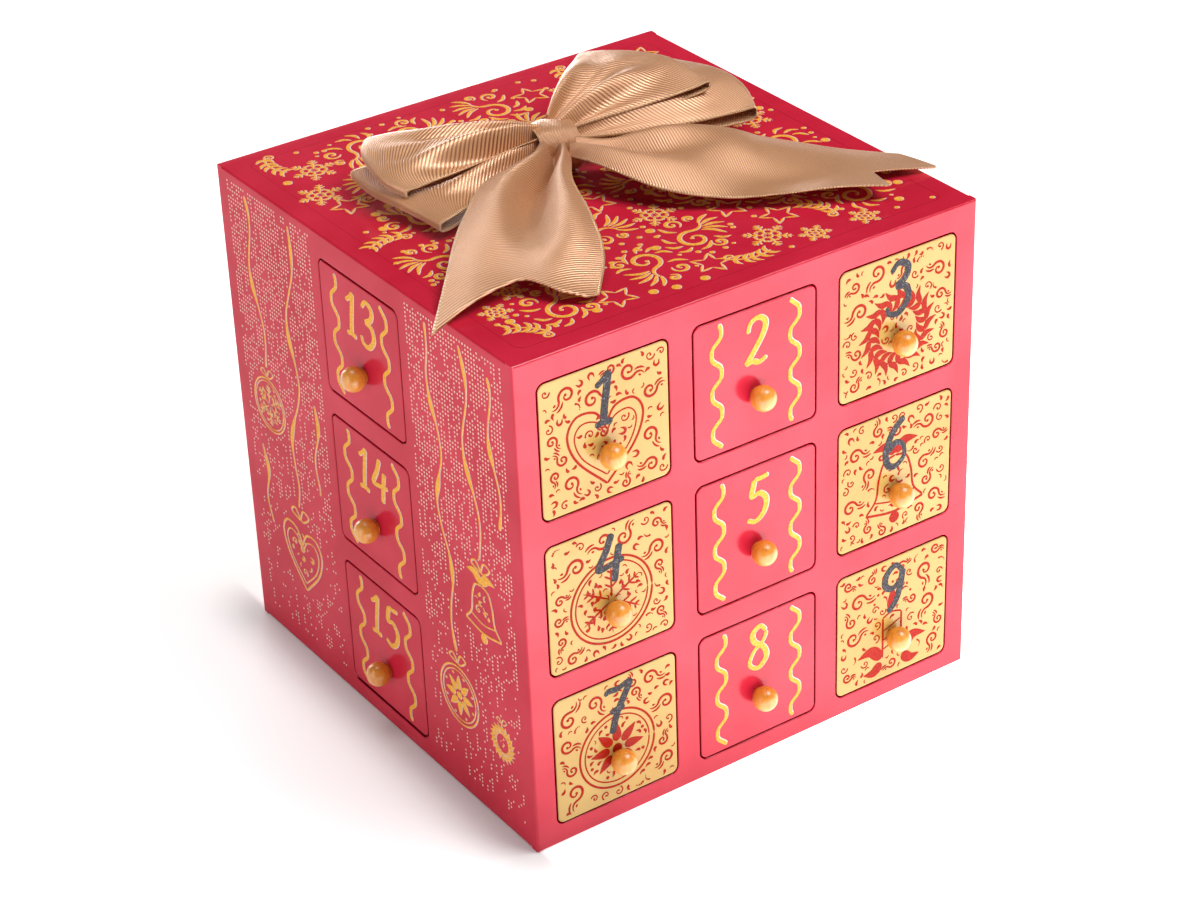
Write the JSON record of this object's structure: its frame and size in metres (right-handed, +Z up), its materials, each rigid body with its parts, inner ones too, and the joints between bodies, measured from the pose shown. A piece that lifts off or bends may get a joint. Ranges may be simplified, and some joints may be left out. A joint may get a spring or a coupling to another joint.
{
  "type": "advent calendar",
  "caption": "Painted wooden cube calendar with numbered pull-out drawers behind windows on all four sides, small ball knobs and a satin ribbon bow on top.",
  "frame": {"origin": "middle of the underside", "axes": "+Z up, front face with drawers 1 to 9 towards -Y"},
  "size_m": [0.1636, 0.1636, 0.1699],
  "materials": {
    "red_paint": "satin red paint",
    "gold_paint": "satin yellow paint",
    "bare_board": "bare fibreboard",
    "knob_wood": "varnished",
    "satin_ribbon": "satin weave"
  },
  "bodies": {
    "case": {"top_panel": "red_paint", "bottom_panel": "red_paint", "front_face_panel": "red_paint", "back_face_panel": "red_paint", "left_side_panel": "red_paint", "right_side_panel": "red_paint", "layer_partitions": "bare_board", "cell_dividers": "bare_board", "cell_shelves": "bare_board", "core_crate": "bare_board", "ribbon_bow": "satin_ribbon", "bow_wrap": "satin_ribbon"},
    "drawer_01": {"drawer_01_box": "gold_paint", "drawer_01_knob": "knob_wood"},
    "drawer_02": {"drawer_02_box": "red_paint", "drawer_02_knob": "knob_wood"},
    "drawer_03": {"drawer_03_box": "gold_paint", "drawer_03_knob": "knob_wood"},
    "drawer_04": {"drawer_04_box": "gold_paint", "drawer_04_knob": "knob_wood"},
    "drawer_05": {"drawer_05_box": "red_paint", "drawer_05_knob": "knob_wood"},
    "drawer_06": {"drawer_06_box": "gold_paint", "drawer_06_knob": "knob_wood"},
    "drawer_07": {"drawer_07_box": "gold_paint", "drawer_07_knob": "knob_wood"},
    "drawer_08": {"drawer_08_box": "red_paint", "drawer_08_knob": "knob_wood"},
    "drawer_09": {"drawer_09_box": "gold_paint", "drawer_09_knob": "knob_wood"},
    "drawer_10": {"drawer_10_box": "red_paint", "drawer_10_knob": "knob_wood"},
    "drawer_11": {"drawer_11_box": "red_paint", "drawer_11_knob": "knob_wood"},
    "drawer_12": {"drawer_12_box": "red_paint", "drawer_12_knob": "knob_wood"},
    "drawer_13": {"drawer_13_box": "red_paint", "drawer_13_knob": "knob_wood"},
    "drawer_14": {"drawer_14_box": "red_paint", "drawer_14_knob": "knob_wood"},
    "drawer_15": {"drawer_15_box": "red_paint", "drawer_15_knob": "knob_wood"},
    "drawer_16": {"drawer_16_box": "gold_paint", "drawer_16_knob": "knob_wood"},
    "drawer_17": {"drawer_17_box": "red_paint", "drawer_17_knob": "knob_wood"},
    "drawer_18": {"drawer_18_box": "gold_paint", "drawer_18_knob": "knob_wood"},
    "drawer_19": {"drawer_19_box": "gold_paint", "drawer_19_knob": "knob_wood"},
    "drawer_20": {"drawer_20_box": "red_paint", "drawer_20_knob": "knob_wood"},
    "drawer_21": {"drawer_21_box": "gold_paint", "drawer_21_knob": "knob_wood"},
    "drawer_22": {"drawer_22_box": "gold_paint", "drawer_22_knob": "knob_wood"},
    "drawer_23": {"drawer_23_box": "red_paint", "drawer_23_knob": "knob_wood"},
    "drawer_24": {"drawer_24_box": "gold_paint", "drawer_24_knob": "knob_wood"}
  },
  "joints": [
    {"name": "drawer_01_slide", "type": "slide", "parent": "case", "child": "drawer_01", "axis": [0, -1, 0], "range_m": [0, 0.04]},
    {"name": "drawer_02_slide", "type": "slide", "parent": "case", "child": "drawer_02", "axis": [0, -1, 0], "range_m": [0, 0.04]},
    {"name": "drawer_03_slide", "type": "slide", "parent": "case", "child": "drawer_03", "axis": [0, -1, 0], "range_m": [0, 0.04]},
    {"name": "drawer_04_slide", "type": "slide", "parent": "case", "child": "drawer_04", "axis": [0, -1, 0], "range_m": [0, 0.04]},
    {"name": "drawer_05_slide", "type": "slide", "parent": "case", "child": "drawer_05", "axis": [0, -1, 0], "range_m": [0, 0.04]},
    {"name": "drawer_06_slide", "type": "slide", "parent": "case", "child": "drawer_06", "axis": [0, -1, 0], "range_m": [0, 0.04]},
    {"name": "drawer_07_slide", "type": "slide", "parent": "case", "child": "drawer_07", "axis": [0, -1, 0], "range_m": [0, 0.04]},
    {"name": "drawer_08_slide", "type": "slide", "parent": "case", "child": "drawer_08", "axis": [0, -1, 0], "range_m": [0, 0.04]},
    {"name": "drawer_09_slide", "type": "slide", "parent": "case", "child": "drawer_09", "axis": [0, -1, 0], "range_m": [0, 0.04]},
    {"name": "drawer_10_slide", "type": "slide", "parent": "case", "child": "drawer_10", "axis": [1, 0, 0], "range_m": [0, 0.062]},
    {"name": "drawer_11_slide", "type": "slide", "parent": "case", "child": "drawer_11", "axis": [1, 0, 0], "range_m": [0, 0.062]},
    {"name": "drawer_12_slide", "type": "slide", "parent": "case", "child": "drawer_12", "axis": [1, 0, 0], "range_m": [0, 0.062]},
    {"name": "drawer_13_slide", "type": "slide", "parent": "case", "child": "drawer_13", "axis": [-1, 0, 0], "range_m": [0, 0.062]},
    {"name": "drawer_14_slide", "type": "slide", "parent": "case", "child": "drawer_14", "axis": [-1, 0, 0], "range_m": [0, 0.062]},
    {"name": "drawer_15_slide", "type": "slide", "parent": "case", "child": "drawer_15", "axis": [-1, 0, 0], "range_m": [0, 0.062]},
    {"name": "drawer_16_slide", "type": "slide", "parent": "case", "child": "drawer_16", "axis": [0, 1, 0], "range_m": [0, 0.04]},
    {"name": "drawer_17_slide", "type": "slide", "parent": "case", "child": "drawer_17", "axis": [0, 1, 0], "range_m": [0, 0.04]},
    {"name": "drawer_18_slide", "type": "slide", "parent": "case", "child": "drawer_18", "axis": [0, 1, 0], "range_m": [0, 0.04]},
    {"name": "drawer_19_slide", "type": "slide", "parent": "case", "child": "drawer_19", "axis": [0, 1, 0], "range_m": [0, 0.04]},
    {"name": "drawer_20_slide", "type": "slide", "parent": "case", "child": "drawer_20", "axis": [0, 1, 0], "range_m": [0, 0.04]},
    {"name": "drawer_21_slide", "type": "slide", "parent": "case", "child": "drawer_21", "axis": [0, 1, 0], "range_m": [0, 0.04]},
    {"name": "drawer_22_slide", "type": "slide", "parent": "case", "child": "drawer_22", "axis": [0, 1, 0], "range_m": [0, 0.04]},
    {"name": "drawer_23_slide", "type": "slide", "parent": "case", "child": "drawer_23", "axis": [0, 1, 0], "range_m": [0, 0.04]},
    {"name": "drawer_24_slide", "type": "slide", "parent": "case", "child": "drawer_24", "axis": [0, 1, 0], "range_m": [0, 0.04]}
  ]
}
